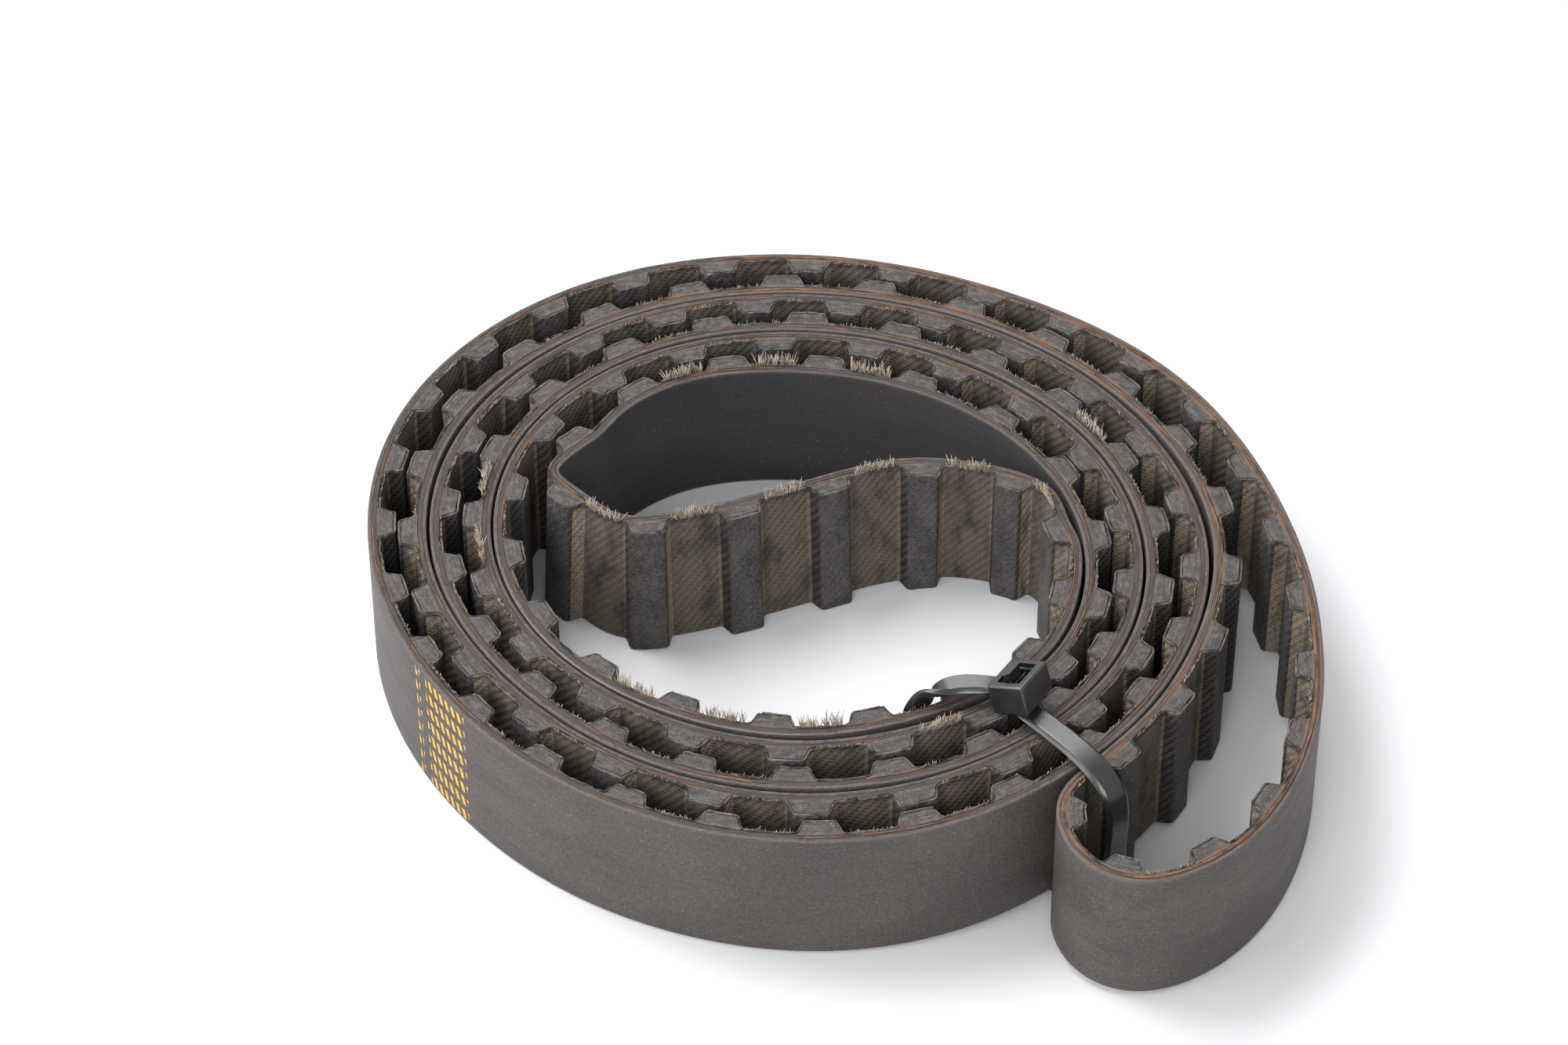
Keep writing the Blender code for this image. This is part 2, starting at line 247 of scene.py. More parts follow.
def footprint_middle(route):
    """The coil's centre is not the frame's origin: the origin is the middle of the footprint."""
    distances = np.arange(0.0, route.length, 0.25)
    back = route.points(distances) + route.normals(distances) * BACK_OFFSET
    return (back.min(0) + back.max(0)) / 2


# --- meshes ---------------------------------------------------------------------------------------

def linked(name, data):
    """A new object with this data, in the scene."""
    made = bpy.data.objects.new(name, data)
    bpy.context.scene.collection.objects.link(made)
    return made


def mesh_from(name, work):
    mesh = bpy.data.meshes.new(name)
    work.to_mesh(mesh)
    work.free()
    return mesh


def grid_mesh(name, places, belt, bands, materials, route):
    """A ring swept round the route. places is (stations, section points, xyz); bands gives each face
    strip's material; belt holds each point's own coordinates for the materials, in mm."""
    stations, section = places.shape[:2]
    mesh = bpy.data.meshes.new(name)
    index = np.arange(stations * section).reshape(stations, section)
    ahead = np.roll(index, -1, 0)
    beside = np.roll(index, -1, 1)
    both = np.roll(ahead, -1, 1)
    faces = np.stack([index, ahead, both, beside], -1).reshape(-1, 4)
    mesh.from_pydata(places.reshape(-1, 3).tolist(), [], faces.tolist())
    slots = np.tile(np.array(bands), stations)
    mesh.polygons.foreach_set("material_index", slots.astype(np.int32))
    corner = belt.reshape(-1, 3)[faces].copy()
    wraps = corner[..., 0].max(1) - corner[..., 0].min(1) > route.length / 2
    late = corner[wraps]
    late[..., 0] = np.where(late[..., 0] < route.length / 2, late[..., 0] + route.length, late[..., 0])
    corner[wraps] = late
    own = mesh.attributes.new("belt", "FLOAT_VECTOR", "CORNER")
    own.data.foreach_set("vector", corner.reshape(-1).astype(np.float32))
    return finish_piece(name, mesh, materials, BODY)


def finish_piece(name, mesh, materials, body, sharp=35.0):
    work = bmesh.new()
    work.from_mesh(mesh)
    bmesh.ops.recalc_face_normals(work, faces=work.faces)
    for face in work.faces:
        face.smooth = True
    work.to_mesh(mesh)
    work.free()
    mesh.set_sharp_from_angle(angle=math.radians(sharp))
    for material in materials:
        mesh.materials.append(material)
    piece = linked(name, mesh)
    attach(piece, body)
    return piece


def rounded_corner(before, corner, after, radius, steps):
    """Points of an arc that rounds a corner of the tooth's outline."""
    corner = Vector(corner)
    to_before = (Vector(before) - corner).normalized()
    to_after = (Vector(after) - corner).normalized()
    half = to_before.angle(to_after) / 2
    reach = radius / math.tan(half)
    centre = corner + (to_before + to_after).normalized() * (radius / math.sin(half))
    start = corner + to_before * reach - centre
    end = corner + to_after * reach - centre
    arc = []
    for step in range(steps + 1):
        share = step / steps
        arc.append(centre + start.slerp(end, share).normalized() * radius)
    return arc


def tooth_outline():
    """One pitch of the toothed side, mid-land to mid-land: (along, height) points, outward normals."""
    root = (ROOT_HALF, 0.0)
    tip = (TIP_HALF, TOOTH_HEIGHT)
    tip_arc = rounded_corner((0.0, TOOTH_HEIGHT), tip, root, TIP_FILLET, 4)
    root_arc = rounded_corner(tip, root, (PITCH / 2, 0.0), ROOT_FILLET, 3)
    rest = PITCH / 2 - root_arc[-1].x
    land = [Vector((root_arc[-1].x + rest * share, 0.0)) for share in (0.33, 0.67)]
    half = [Vector((0.7, TOOTH_HEIGHT))] + tip_arc + root_arc + land
    left = [Vector((-point.x, point.y)) for point in reversed(half)]
    outline = [Vector((-PITCH / 2, 0.0))] + left + half
    count = len(outline)
    normals = []
    for number, point in enumerate(outline):
        before = outline[number - 1] if number else outline[-1] - Vector((PITCH, 0.0))
        after = outline[number + 1] if number + 1 < count else outline[0] + Vector((PITCH, 0.0))
        direction = (after - before).normalized()
        normals.append(Vector((-direction.y, direction.x)))
    return np.array(outline), np.array(normals)


def surface_run(outline):
    """Distance along the toothed surface to each point of one pitch, and last the whole pitch's."""
    closed = np.vstack([outline, outline[0] + (PITCH, 0.0)])
    steps = np.linalg.norm(np.diff(closed, axis=0), axis=1)
    return np.concatenate([[0.0], np.cumsum(steps)])


def toothed_stations():
    """(along, height, normal along, normal out, run along the surface) for the whole toothed side."""
    outline, normals = tooth_outline()
    run = surface_run(outline)
    rows = []
    for tooth in range(TEETH):
        centre = PHASE + tooth * PITCH
        along = outline[:, 0] + centre
        rows.append(np.column_stack([along, outline[:, 1], normals, run[:-1] + tooth * run[-1]]))
    return np.vstack(rows)


def swept_section(route, section):
    """Along, sideways and up for each point of an unchanging section at each station."""
    stations = np.arange(0.0, route.length - STATION_END_GAP, STATION_STEP)
    s = np.tile(stations[:, None], (1, len(section)))
    n = np.tile([point[0] for point in section], (len(stations), 1))
    z = np.tile([point[1] for point in section], (len(stations), 1))
    return s, n, z


def uneven_edges(z, rough):
    """The top edge moves either way by rough; the bottom one only rises, so it stays off the floor."""
    return z + np.where(z > WIDTH / 2, rough, np.abs(rough))


def build_backing(route, material, edge):
    bevel = EDGE_BEVEL
    section = [(BACK_OFFSET, bevel), (BACK_OFFSET, WIDTH * 0.25), (BACK_OFFSET, WIDTH * 0.5)]
    section += [(BACK_OFFSET, WIDTH * 0.75), (BACK_OFFSET, WIDTH - bevel)]
    section += [(BACK_OFFSET + bevel * 0.3, WIDTH - bevel * 0.3), (BACK_OFFSET + bevel, WIDTH)]
    section += [(-CORD_HALF - LAYER_GAP, WIDTH - 0.03), (-CORD_HALF - LAYER_GAP, 0.03)]
    section += [(BACK_OFFSET + bevel, 0.0), (BACK_OFFSET + bevel * 0.3, bevel * 0.3)]
    bands = [0, 0, 0, 0, 0, 0, 1, 1, 1, 0, 0]
    s, n, z = swept_section(route, section)
    z = uneven_edges(z, np.random.default_rng(5).normal(0.0, 0.012, n.shape))
    belt = np.stack([s, z, n], -1)
    return grid_mesh("belt_backing", place(route, s, n, z), belt, bands, [material, edge], route)


def build_cord(route, material):
    section = [(-CORD_HALF, 0.05), (-CORD_HALF, WIDTH - 0.06), (0.0, WIDTH - 0.02)]
    section += [(CORD_HALF, WIDTH - 0.06), (CORD_HALF, 0.05), (0.0, 0.03)]
    s, n, z = swept_section(route, section)
    z = uneven_edges(z, np.random.default_rng(6).normal(0.0, 0.02, n.shape))
    belt = np.stack([s, z, n], -1)
    bands = [0] * len(section)
    return grid_mesh("belt_tension_cord", place(route, s, n, z), belt, bands, [material], route)


def build_toothed_rubber(route, edge):
    rows = toothed_stations()
    inset = FACING_THICKNESS + LAYER_GAP
    along = rows[:, :1]
    face_along = along - rows[:, 2:3] * inset
    outer = LAND_OFFSET + rows[:, 1:2] - rows[:, 3:4] * inset
    inner = CORD_HALF + LAYER_GAP
    # Share of the way from the cord to the facing, and how far the edge draws in there.
    eased = ((0.0, 0.0), (0.5, 0.0), (0.96, 0.0), (1.0, RUBBER_EDGE_EASE))
    section = [(share, WIDTH - ease) for share, ease in eased] + list(eased[::-1])
    shares, heights = np.array(section).T
    s = along + (face_along - along) * shares
    n = inner + (outer - inner) * shares
    z = np.tile(heights, (len(rows), 1))
    chance = np.random.default_rng(7)
    rough = chance.normal(0.0, 0.022, n.shape)
    nick = np.abs(chance.normal(0.0, 0.06, n.shape)) * (z > WIDTH / 2) * (n > inner + 0.01)
    n = n - nick
    z = uneven_edges(z, rough)
    belt = np.stack([s, z, n], -1)
    bands = [0] * len(section)
    return grid_mesh("belt_toothed_rubber", place(route, s, n, z), belt, bands, [edge], route)


def build_facing(route, fabric):
    rows = toothed_stations()
    levels = np.array([0.04, 0.2, 5.0, 10.0, 15.0, WIDTH - 0.2, WIDTH - 0.05])
    s = []
    n = []
    z = []
    for inset, heights in ((0.0, levels), (FACING_THICKNESS, levels[[-1, 0]])):
        for height in heights:
            s.append(rows[:, 0] - rows[:, 2] * inset)
            n.append(LAND_OFFSET + rows[:, 1] - rows[:, 3] * inset)
            z.append(np.full(len(rows), height))
    s, n, z = np.stack(s, 1), np.stack(n, 1), np.stack(z, 1)
    chance = np.random.default_rng(8)
    frayed = chance.normal(0.0, 0.07, z.shape)
    top_edge = z > WIDTH - 0.5
    n = n + chance.normal(0.0, 0.035, n.shape) * top_edge
    z = np.where(top_edge, np.minimum(z + frayed, WIDTH + 0.12), z)
    height = np.tile(rows[:, 1:2] / TOOTH_HEIGHT, (1, z.shape[1]))
    run = np.tile(rows[:, 4:5], (1, z.shape[1]))
    belt = np.stack([run, z, height], -1)
    bands = [0] * z.shape[1]
    return grid_mesh("belt_nylon_facing", place(route, s, n, z), belt, bands, [fabric], route)


# --- threads --------------------------------------------------------------------------------------

class Tubes:
    """Many thin round threads gathered in one mesh."""

    TIP_TAPER = 0.45

    def __init__(self):
        self.vertices = []
        self.faces = []

    def add(self, path, radius, sides=4):
        first = len(self.vertices)
        path = [Vector(point) for point in path]
        for number, point in enumerate(path):
            ahead = path[min(number + 1, len(path) - 1)]
            behind = path[max(number - 1, 0)]
            travel = (ahead - behind).normalized()
            aside = travel.orthogonal().normalized()
            other = travel.cross(aside)
            taper = self.TIP_TAPER if number == len(path) - 1 else 1.0
            for corner in range(sides):
                angle = 2 * math.pi * corner / sides
                swing = aside * math.cos(angle) + other * math.sin(angle)
                self.vertices.append(point + swing * radius * taper)
        for ring in range(len(path) - 1):
            for corner in range(sides):
                beside = (corner + 1) % sides
                low = first + ring * sides
                high = low + sides
                self.faces.append((low + corner, low + beside, high + beside, high + corner))
        self.faces.append(tuple(first + corner for corner in reversed(range(sides))))
        last = first + (len(path) - 1) * sides
        self.faces.append(tuple(last + corner for corner in range(sides)))

    def piece(self, name, material):
        mesh = bpy.data.meshes.new(name)
        mesh.from_pydata([tuple(vertex) for vertex in self.vertices], [], self.faces)
        return finish_piece(name, mesh, [material], BODY, sharp=180.0)


def frayed_land(tubes, route, centre, reach, threads, length, thickness, rng):
    """A row of blunt, nearly upright thread ends along the top edge of one land."""
    for _thread in range(threads):
        s = centre + rng.uniform(-reach, reach)
        n = LAND_OFFSET - rng.uniform(-0.02, 0.28)
        lean_out = rng.gauss(0.12, 0.20)
        lean_along = rng.gauss(0.0, 0.26)
        curl = rng.uniform(-0.5, 0.5)
        size = length * rng.triangular(0.35, 1.0, 0.8)
        path = []
        for share in (0.0, 0.5, 1.0):
            forward = s + size * (lean_along * share + 0.25 * curl * share**2)
            path.append((forward, n + size * lean_out * share, WIDTH - 0.15 + size * share))
        path = np.array(path)
        points = place(route, path[:, 0], path[:, 1], path[:, 2])
        tubes.add(points, thickness * rng.uniform(0.7, 1.3) * MM, 3)


# Lands with long tufts, as distances in mm along the pitch line: the crossing, then the inner laps.
LONG_TUFTS = (
    1064, 1051, 1038, 1026, 1013, 1000,
    911, 924, 937, 1102, 1114, 1127, 1216, 1292, 1305, 1406,
)


def land_centre(tooth):
    return PHASE + (tooth + 0.5) * PITCH


def build_threads(route, material):
    rng = random.Random(11)
    tubes = Tubes()
    for place_along in LONG_TUFTS:
        centre = land_centre(round((place_along - PHASE) / PITCH - 0.5))
        frayed_land(
            tubes, route, centre, reach=2.7, threads=62, length=2.1, thickness=0.075, rng=rng
        )
    for tooth in range(TEETH):
        if rng.random() < 0.75:
            few = rng.randint(8, 24)
            centre = land_centre(tooth)
            frayed_land(
                tubes, route, centre, reach=3.1, threads=few, length=0.62, thickness=0.045, rng=rng
            )
    return tubes.piece("belt_frayed_threads", material)


def build_edge_cords(route, material):
    """Cord ends that show on the cut edge: thin strands that surface and dive along the pitch line."""
    rng = random.Random(23)
    tubes = Tubes()
    s = 0.0
    last_start = route.length - 40.0
    while s < last_start:
        size = rng.uniform(6.0, 24.0)
        n = rng.uniform(-0.22, 0.3)
        count = max(4, int(size / 1.6))
        share = np.linspace(0.0, 1.0, count)
        along = s + size * share
        sideways = n + 0.06 * np.sin(share * 9 + s)
        height = WIDTH - 0.03 + 0.07 * np.sin(np.pi * share)
        tubes.add(place(route, along, sideways, height), rng.uniform(0.05, 0.09) * MM, 5)
        rusty_here = any(low < s < high for low, high in RUSTY_STRETCHES)
        s += size * rng.uniform(0.2, 0.7) * (1.0 if rusty_here else 4.0)
    return tubes.piece("belt_edge_cords", material)


# --- cable tie ------------------------------------------------------------------------------------

def head_axes():
    across = Vector(HEAD_X).normalized()
    along = (Vector(HEAD_Y) - across * Vector(HEAD_Y).dot(across)).normalized()
    return across, along, across.cross(along)


def head_matrix():
    across, along, up = head_axes()
    turn = Matrix((across, along, up)).transposed().to_4x4()
    centre = Vector(HEAD_CENTRE) - Vector((*FOOTPRINT_MIDDLE, 0.0))
    return Matrix.Translation(centre * MM) @ turn


def strap_stations():
    """The strap's centre line and width direction, in mm from the coil's centre."""
    across, along, up = head_axes()
    centre = Vector(HEAD_CENTRE)
    inner_side = Vector((0.93, 0.36, 0.0))
    outer_side = Vector((0.81, 0.58, 0.0))
    slot = centre + across * STRAP_IN_SLOT
    root = centre - across * (HEAD_SIZE[0] / 2 + LAYER_GAP)
    elbow = slot - up * (HEAD_SIZE[2] / 2 + STRAP_THICKNESS / 2)
    back_along_run = Vector((0.62, -0.78, 0.0))
    return [
        (root, along),
        (root - across * 1.5, along),
        (Vector((16.2, -28.8, 23.4)), Vector((0.62, 0.78, 0.0))),
        (Vector((13.4, -29.4, 23.0)), Vector((0.75, 0.66, 0.0))),
        (Vector((11.7, -29.8, 22.1)), inner_side),
        (Vector((10.8, -30.0, 20.6)), inner_side),
        (Vector((10.5, -30.1, 18.6)), inner_side),
        (Vector((10.5, -30.1, 10.0)), inner_side),
        (Vector((10.5, -30.1, 2.3)), inner_side),
        (Vector((10.7, -30.25, 1.2)), inner_side),
        (Vector((11.5, -30.8, 0.68)), outer_side),
        (Vector((13.2, -32.0, 0.6)), outer_side),
        (Vector((23.2, -37.95, 0.6)), outer_side),
        (Vector((33.3, -43.9, 0.6)), outer_side),
        (Vector((34.9, -45.2, 1.5)), outer_side),
        (Vector((35.4, -45.6, 3.2)), outer_side),
        (Vector((35.4, -45.6, 10.5)), outer_side),
        (Vector((35.4, -45.6, 18.0)), outer_side),
        (Vector((34.8, -45.0, 20.6)), outer_side),
        (Vector((33.2, -43.0, 22.2)), outer_side),
        (Vector((31.0, -40.2, 22.8)), outer_side),
        (Vector((27.5, -35.8, 22.6)), Vector((0.70, 0.70, -0.05))),
        (elbow + back_along_run * 1.3, along),
        (elbow + back_along_run * 0.38 + up * 0.38, along),
        (elbow + up * 1.05, along),
        (slot + up * (HEAD_SIZE[2] / 2 + STUB), along),
    ]


def strap_section():
    """Half-rounded band: (across the width, through the thickness), counter-clockwise, in mm."""
    half_width = STRAP_WIDTH / 2
    half = STRAP_THICKNESS / 2
    shoulder = 0.55
    outer = [(half_width, half - shoulder), (half_width - 0.06, half - shoulder + 0.10)]
    outer += [(half_width - shoulder + 0.06, half - 0.06), (half_width - shoulder - 0.05, half)]
    top = outer + [(-x, y) for x, y in reversed(outer)]
    bottom = [(x, -y) for x, y in reversed(top)]
    return top + bottom


def build_strap(material):
    centre, width_ways = zip(*strap_stations())
    travel = [0.0]
    for before, after in zip(centre, centre[1:]):
        travel.append(travel[-1] + (after - before).length ** 0.5)
    fine = np.linspace(0.0, travel[-1], 220)
    positions = catmull_rom(np.array(travel), np.array([tuple(point) for point in centre]), fine)
    sides = catmull_rom(np.array(travel), np.array([tuple(way) for way in width_ways]), fine)
    section = strap_section()
    work = bmesh.new()
    rings = []
    shift = Vector((*FOOTPRINT_MIDDLE, 0.0))
    for number in range(len(fine)):
        ahead = Vector(positions[min(number + 1, len(fine) - 1)])
        behind = Vector(positions[max(number - 1, 0)])
        forward = (ahead - behind).normalized()
        side = Vector(sides[number])
        side = (side - forward * side.dot(forward)).normalized()
        normal = forward.cross(side)
        spot = Vector(positions[number]) - shift
        ring = [spot + side * x + normal * y for x, y in section]
        for point in ring:
            point.z = max(point.z, FLOOR_GAP)
        rings.append([work.verts.new(point * MM) for point in ring])
    for ring, following in zip(rings, rings[1:]):
        for corner in range(len(section)):
            beside = (corner + 1) % len(section)
            work.faces.new((ring[corner], ring[beside], following[beside], following[corner]))
    work.faces.new(rings[0][::-1])
    work.faces.new(rings[-1])
    return finish_piece("tie_band", mesh_from("tie_band", work), [material], BODY, sharp=28.0)


def catmull_rom(knots, values, wanted):
    """Values between knots by cubic Hermite with finite-difference slopes."""
    slopes = np.gradient(values, knots, axis=0)
    cell = np.clip(np.searchsorted(knots, wanted, "right") - 1, 0, len(knots) - 2)
    width = (knots[cell + 1] - knots[cell])[:, None]
    t = ((wanted - knots[cell]) / width[:, 0])[:, None]
    blend = (2 * t**3 - 3 * t**2 + 1) * values[cell] + (3 * t**2 - 2 * t**3) * values[cell + 1]
    return blend + width * ((t**3 - 2 * t**2 + t) * slopes[cell] + (t**3 - t**2) * slopes[cell + 1])


def boxed(name, size, centre, bevel, segments):
    """The mesh of a rounded box in the head's axes, from sizes in mm."""
    work = bmesh.new()
    bmesh.ops.create_cube(work, size=1.0)
    bmesh.ops.scale(work, vec=Vector(size) * MM, verts=work.verts)
    bmesh.ops.bevel(
        work, geom=list(work.edges), offset=bevel * MM, segments=segments, profile=0.55, affect="EDGES"
    )
    bmesh.ops.translate(work, vec=Vector(centre) * MM, verts=work.verts)
    return mesh_from(name, work)


def carve(target, cutters):
    """Cuts the cutters out of the target and bakes the result into its mesh."""
    for number, cutter in enumerate(cutters):
        step = target.modifiers.new(f"cut_{number}", "BOOLEAN")
        step.operation = "DIFFERENCE"
        step.solver = "EXACT"
        step.object = cutter
    bpy.context.view_layer.update()
    graph = bpy.context.evaluated_depsgraph_get()
    mesh = bpy.data.meshes.new_from_object(target.evaluated_get(graph))
    for spare in [target] + cutters:
        bpy.data.objects.remove(spare, do_unlink=True)
    return mesh


def build_head(material):
    size = tuple(side + skin for side, skin in zip(HEAD_SIZE, HEAD_SKIN))
    body = linked("head_blank", boxed("head_blank", size, (0.0, 0.0, 0.0), 0.35, 5))
    slot = linked("slot", boxed("slot", (*SLOT_SIZE, HEAD_SIZE[2] * 2), (0.0, 0.0, 0.0), 0.12, 2))
    well_size = (SLOT_SIZE[0] + 0.5, SLOT_SIZE[1] + 0.6, 1.0)
    well = linked("well", boxed("well", well_size, (0.0, 0.0, HEAD_SIZE[2] / 2), 0.25, 3))
    mesh = carve(body, [slot, well])
    mesh.transform(head_matrix())
    return finish_piece("tie_head_moulding", mesh, [material], BODY, sharp=32.0)


def build_pawl(material):
    """The sprung tongue, with the ratchet teeth that face the strap."""
    work = bmesh.new()
    thick, wide, tall = PAWL_SIZE
    teeth = 4
    outline = [(0.12, 0.0), (thick, 0.0), (thick, tall * 0.2), (thick - 0.25, tall), (0.18, tall)]
    for tooth in range(teeth):
        top = tall * (0.94 - 0.19 * tooth)
        outline.append((0.0, top))
        outline.append((0.16, top - 0.30))
    for x, z in outline:
        work.verts.new((x * MM, -wide / 2 * MM, z * MM))
    work.faces.new(work.verts)
    swept = bmesh.ops.extrude_face_region(work, geom=list(work.faces))
    moved = [item for item in swept["geom"] if isinstance(item, bmesh.types.BMVert)]
    bmesh.ops.translate(work, vec=(0.0, wide * MM, 0.0), verts=moved)
    mesh = mesh_from("tie_pawl_tongue", work)
    foot = Vector((PAWL_IN_SLOT - thick / 2, 0.0, -HEAD_SIZE[2] / 2 + PAWL_FOOT)) * MM
    mesh.transform(head_matrix() @ Matrix.Translation(foot))
    return finish_piece("tie_pawl_tongue", mesh, [material], PAWL_BODY, sharp=30.0)


# --- materials ------------------------------------------------------------------------------------

class Graph:
    """Short calls for the node graph of one material."""

    def __init__(self, name):
        self.material = bpy.data.materials.new(name)
        self.material.use_nodes = True
        self.tree = self.material.node_tree
        self.shader = self.tree.nodes["Principled BSDF"]

    def node(self, kind, **settings):
        made = self.tree.nodes.new(kind)
        for key, value in settings.items():
            setattr(made, key, value)
        return made

    def feed(self, socket, value):
        if isinstance(value, bpy.types.NodeSocket):
            self.tree.links.new(value, socket)
        else:
            socket.default_value = value

    def belt(self):
        """The surface's own place in mm: along the belt, up its width, across it or up its teeth."""
        return self.node("ShaderNodeAttribute", attribute_name="belt").outputs["Vector"]

    def place(self):
        """The point in the object's own space, in mm."""
        return self.scaled(self.node("ShaderNodeTexCoord").outputs["Object"], (1000.0, 1000.0, 1000.0))

    def scaled(self, vector, scale):
        made = self.node("ShaderNodeMapping")
        self.feed(made.inputs["Vector"], vector)
        made.inputs["Scale"].default_value = scale
        return made.outputs["Vector"]

    def split(self, vector):
        made = self.node("ShaderNodeSeparateXYZ")
        self.feed(made.inputs[0], vector)
        return made.outputs

    def noise(self, vector, scale, detail=3.0, rough=0.55):
        made = self.node("ShaderNodeTexNoise")
        self.feed(made.inputs["Vector"], vector)
        made.inputs["Scale"].default_value = scale
        made.inputs["Detail"].default_value = detail
        made.inputs["Roughness"].default_value = rough
        return made.outputs["Fac"]

    def stretched(self, vector, scales, detail, rough=0.55):
        """Noise with its own scale on each axis."""
        return self.noise(self.scaled(vector, scales), 1.0, detail, rough)

    def spots(self, vector, scale):
        made = self.node("ShaderNodeTexVoronoi")
        self.feed(made.inputs["Vector"], vector)
        made.inputs["Scale"].default_value = scale
        return made.outputs["Distance"]

    def math(self, operation, first, second=0.0):
        made = self.node("ShaderNodeMath", operation=operation)
        self.feed(made.inputs[0], first)
        self.feed(made.inputs[1], second)
        return made.outputs[0]

    def times(self, first, second):
        return self.math("MULTIPLY", first, second)

    def plus(self, first, second):
        return self.math("ADD", first, second)

    def larger(self, first, second):
        return self.math("MAXIMUM", first, second)

    def wave(self, value, step):
        """A sine that repeats each time the value grows by step."""
        return self.math("SINE", self.times(value, 2 * math.pi / step))

    def span(self, value, low, high, start=0.0, end=1.0):
        """Maps low..high to start..end, clamped."""
        made = self.node("ShaderNodeMapRange", clamp=True)
        self.feed(made.inputs["Value"], value)
        made.inputs["From Min"].default_value = low
        made.inputs["From Max"].default_value = high
        made.inputs["To Min"].default_value = start
        made.inputs["To Max"].default_value = end
        return made.outputs["Result"]

    def window(self, value, low, high, soft):
        """One between low and high, falling to zero over soft on both sides."""
        rise = self.span(value, low - soft, low)
        fall = self.span(value, high, high + soft, 1.0, 0.0)
        return self.times(rise, fall)

    def mix(self, share, first, second):
        made = self.node("ShaderNodeMix", data_type="RGBA")
        self.feed(made.inputs["Factor"], share)
        ends = [one for one in made.inputs if one.type == "RGBA"]
        for socket, value in zip(ends, (first, second)):
            self.feed(socket, value if isinstance(value, bpy.types.NodeSocket) else (*value, 1.0))
        return [one for one in made.outputs if one.type == "RGBA"][0]

    def bump(self, height, distance, strength=1.0):
        made = self.node("ShaderNodeBump")
        self.feed(made.inputs["Height"], height)
        made.inputs["Distance"].default_value = distance * MM
        made.inputs["Strength"].default_value = strength
        self.tree.links.new(made.outputs["Normal"], self.shader.inputs["Normal"])

    def finish(self, colour, roughness, specular=0.5):
        self.feed(self.shader.inputs["Base Color"], colour)
        self.feed(self.shader.inputs["Roughness"], roughness)
        self.shader.inputs["Specular IOR Level"].default_value = specular
        return self.material


def rusty(graph, along, across):
    """Where the cords' rusty dust has spread over the cut edge: a soft band at the pitch line."""
    band = graph.window(across, -0.35, 0.45, 0.45)
    strong = graph.window(along, *RUSTY_STRETCHES[0], RUSTY_FADE)
    for stretch in RUSTY_STRETCHES[1:]:
        strong = graph.larger(strong, graph.window(along, *stretch, RUSTY_FADE))
    return graph.times(band, graph.span(strong, 0.0, 1.0, 0.22, 1.0))


def backing_material():
    """Worn black rubber: grey-brown bloom, a fine grain, pale specks, a worn yellow print, and painted
    shade on the inner laps.
    """
    graph = Graph("worn_backing_rubber")
    belt = graph.belt()
    along, up, _across = graph.split(belt)
    bloom = graph.stretched(belt, (0.05, 0.11, 0.1), 4.0)
    streak = graph.stretched(belt, (0.06, 1.6, 1.0), 5.0, 0.65)
    grain = graph.noise(belt, 3.2, 4.0, 0.7)
    colour = graph.mix(graph.span(bloom, 0.33, 0.7), (0.050, 0.042, 0.040), (0.078, 0.065, 0.060))
    colour = graph.mix(graph.span(streak, 0.45, 0.80, 0.0, 0.15), colour, (0.032, 0.029, 0.029))
    colour = graph.mix(graph.span(grain, 0.52, 0.70, 0.0, 0.75), colour, (0.125, 0.108, 0.100))
    colour = graph.mix(graph.span(grain, 0.46, 0.34, 0.0, 0.65), colour, (0.022, 0.019, 0.019))
    # Painted shade: the backing along the inner laps is darkened toward near-black, standing in for the
    # coil's shade on its inner walls.
    painted_shade = graph.window(along, *PAINTED_SHADE_STRETCH, 30.0)
    colour = graph.mix(graph.times(painted_shade, 0.66), colour, (0.018, 0.017, 0.018))
    speck = graph.span(graph.spots(belt, 0.9), 0.10, 0.04)
    speck = graph.times(speck, graph.span(bloom, 0.46, 0.56, 0.2, 0.9))
    colour = graph.mix(speck, colour, (0.30, 0.26, 0.22))
    lip = graph.larger(graph.span(up, WIDTH - 0.5, WIDTH - 0.1), graph.span(up, 0.5, 0.1))
    colour = graph.mix(graph.times(lip, 0.30), colour, (0.13, 0.115, 0.108))
    inked = printed_rows(graph, along, up, grain)
    colour = graph.mix(inked, colour, (0.80, 0.43, 0.04))
    rubbed = graph.times(graph.window(along, *RUBBED_STRETCH, 12.0), graph.span(up, 19.2, 19.8))
    roughness = graph.span(streak, 0.3, 0.8, 0.50, 0.68)
    roughness = graph.times(roughness, graph.span(rubbed, 0.0, 1.0, 1.0, 0.38))
    relief = graph.plus(grain, graph.times(streak, 0.15))
    graph.bump(relief, 0.08, 0.7)
    return graph.finish(colour, roughness, 0.4)


def printed_rows(graph, along, up, grain):
    """Rows of plain worn slanted bars across the width, in place of the maker's print."""
    row = graph.math("FRACT", graph.math("DIVIDE", up, WIDTH / PRINT_ROWS))
    in_row = graph.window(row, 0.20, 0.74, 0.05)
    tick = graph.window(along, PRINT_START, PRINT_START + 1.0, 0.12)
    block = graph.window(along, PRINT_START + 2.7, PRINT_START + 11.4, 0.12)
    slanted = graph.plus(graph.math("DIVIDE", along, 1.3), graph.times(row, 0.6))
    bars = graph.wave(slanted, 1.0)
    stroke = graph.span(bars, -0.05, 0.2)
    worn = graph.span(grain, 0.36, 0.46)
    marks = graph.times(graph.larger(block, tick), in_row)
    return graph.times(graph.times(marks, stroke), worn)


